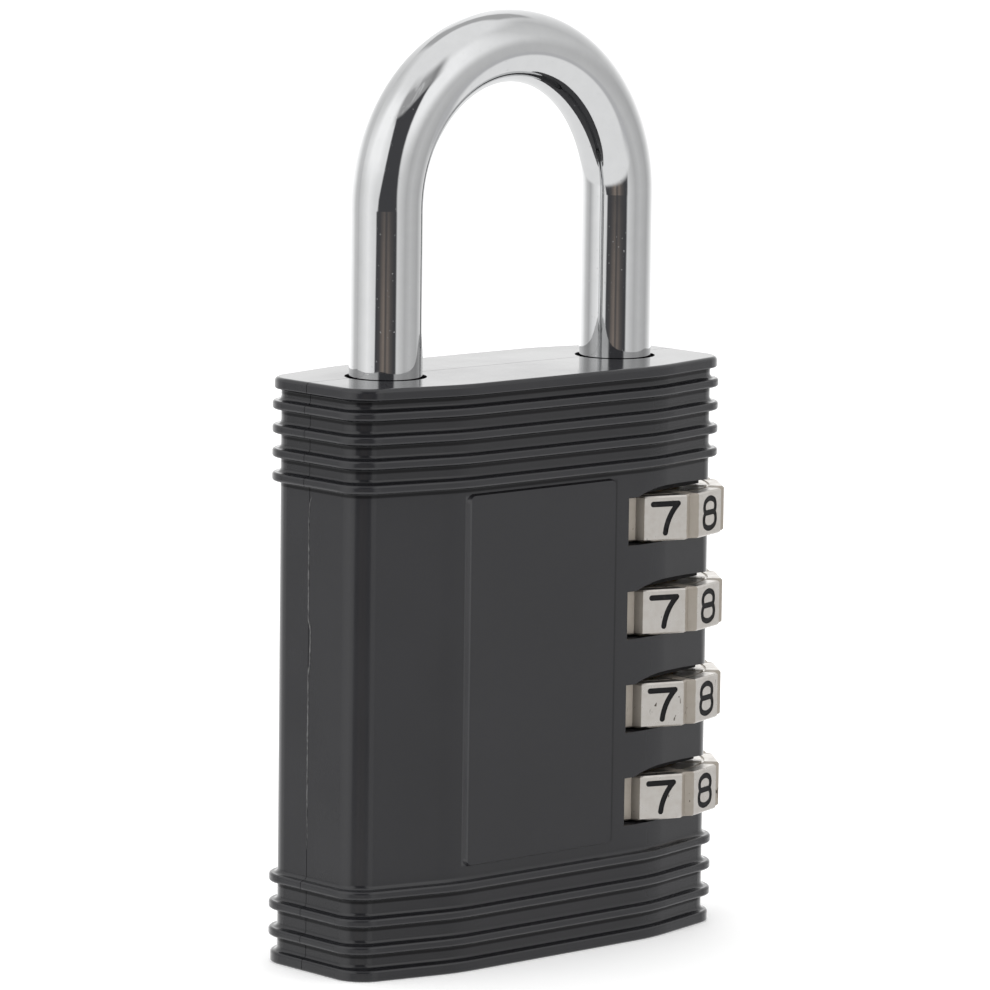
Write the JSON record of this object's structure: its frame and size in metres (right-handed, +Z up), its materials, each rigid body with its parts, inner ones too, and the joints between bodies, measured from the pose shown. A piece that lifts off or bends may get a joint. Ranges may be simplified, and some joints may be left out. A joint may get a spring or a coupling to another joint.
{
  "type": "combination padlock",
  "caption": "Ribbed black padlock with a round steel shackle and numbered dials at one end that free it when lined up.",
  "frame": {"origin": "centre of the base, midway between the ribbed ends and midway between the front and the back", "axes": "+Z up the shackle, +X toward the end with the dials, -Y the front face"},
  "size_m": [0.0451, 0.0176, 0.0814],
  "materials": {
    "body_black": "glossy moulded plastic with a slight grain",
    "dial_nickel": "satin nickel-plated zinc with black-filled digits",
    "shackle_chrome": "bright chrome plate",
    "zinc_case": "black e-coated zinc casting",
    "steel_fastener": "zinc-plated steel",
    "spring_steel": "bright spring steel",
    "brass": "turned brass"
  },
  "bodies": {
    "body": {"front_shell": "body_black", "back_shell": "body_black", "case_front": "zinc_case", "case_back": "zinc_case", "case_screws": "steel_fastener", "case_dowels": "steel_fastener", "spring_seat": "zinc_case", "reset_spring": "spring_steel", "detent_comb": "spring_steel", "comb_rivets": "brass"},
    "shackle": {"shackle": "shackle_chrome", "shackle_clip": "steel_fastener"},
    "washer": {"thrust_washer": "steel_fastener"},
    "dial_1": {"dial_1": "dial_nickel"},
    "sleeve_1": {"sleeve_1": "brass"},
    "dial_2": {"dial_2": "dial_nickel"},
    "sleeve_2": {"sleeve_2": "brass"},
    "dial_3": {"dial_3": "dial_nickel"},
    "sleeve_3": {"sleeve_3": "brass"},
    "dial_4": {"dial_4": "dial_nickel"},
    "sleeve_4": {"sleeve_4": "brass"}
  },
  "joints": [
    {"name": "shackle_lift", "type": "slide", "parent": "body", "child": "shackle", "axis": [0, 0, 1], "range_m": [0, 0.00824]},
    {"name": "dial_1_turn", "type": "hinge", "parent": "body", "child": "dial_1", "pos_m": [0.01493, 0, 0.0371], "axis": [0, 0, 1], "continuous": true, "deforming": ["detent_comb"]},
    {"name": "dial_2_turn", "type": "hinge", "parent": "body", "child": "dial_2", "pos_m": [0.01493, 0, 0.02886], "axis": [0, 0, 1], "continuous": true, "deforming": ["detent_comb"]},
    {"name": "dial_3_turn", "type": "hinge", "parent": "body", "child": "dial_3", "pos_m": [0.01493, 0, 0.02062], "axis": [0, 0, 1], "continuous": true, "deforming": ["detent_comb"]},
    {"name": "dial_4_turn", "type": "hinge", "parent": "body", "child": "dial_4", "pos_m": [0.01493, 0, 0.01238], "axis": [0, 0, 1], "continuous": true, "deforming": ["detent_comb"]},
    {"name": "reset_press", "type": "slide", "parent": "dial_1", "child": "sleeve_1", "axis": [0, 0, -1], "range_m": [0, 0.0012], "deforming": ["reset_spring"]},
    {"name": "sleeve_2_press", "type": "slide", "parent": "dial_2", "child": "sleeve_2", "axis": [0, 0, -1], "range_m": [0, 0.0012]},
    {"name": "sleeve_3_press", "type": "slide", "parent": "dial_3", "child": "sleeve_3", "axis": [0, 0, -1], "range_m": [0, 0.0012]},
    {"name": "sleeve_4_press", "type": "slide", "parent": "dial_4", "child": "sleeve_4", "axis": [0, 0, -1], "range_m": [0, 0.0012]},
    {"name": "washer_press", "type": "slide", "parent": "body", "child": "washer", "axis": [0, 0, -1], "range_m": [0, 0.0012], "deforming": ["reset_spring"]}
  ],
  "couplings": [
    {"joint": "sleeve_2_press", "follows": "reset_press", "ratio": 1},
    {"joint": "sleeve_3_press", "follows": "reset_press", "ratio": 1},
    {"joint": "sleeve_4_press", "follows": "reset_press", "ratio": 1},
    {"joint": "washer_press", "follows": "reset_press", "ratio": 1}
  ]
}
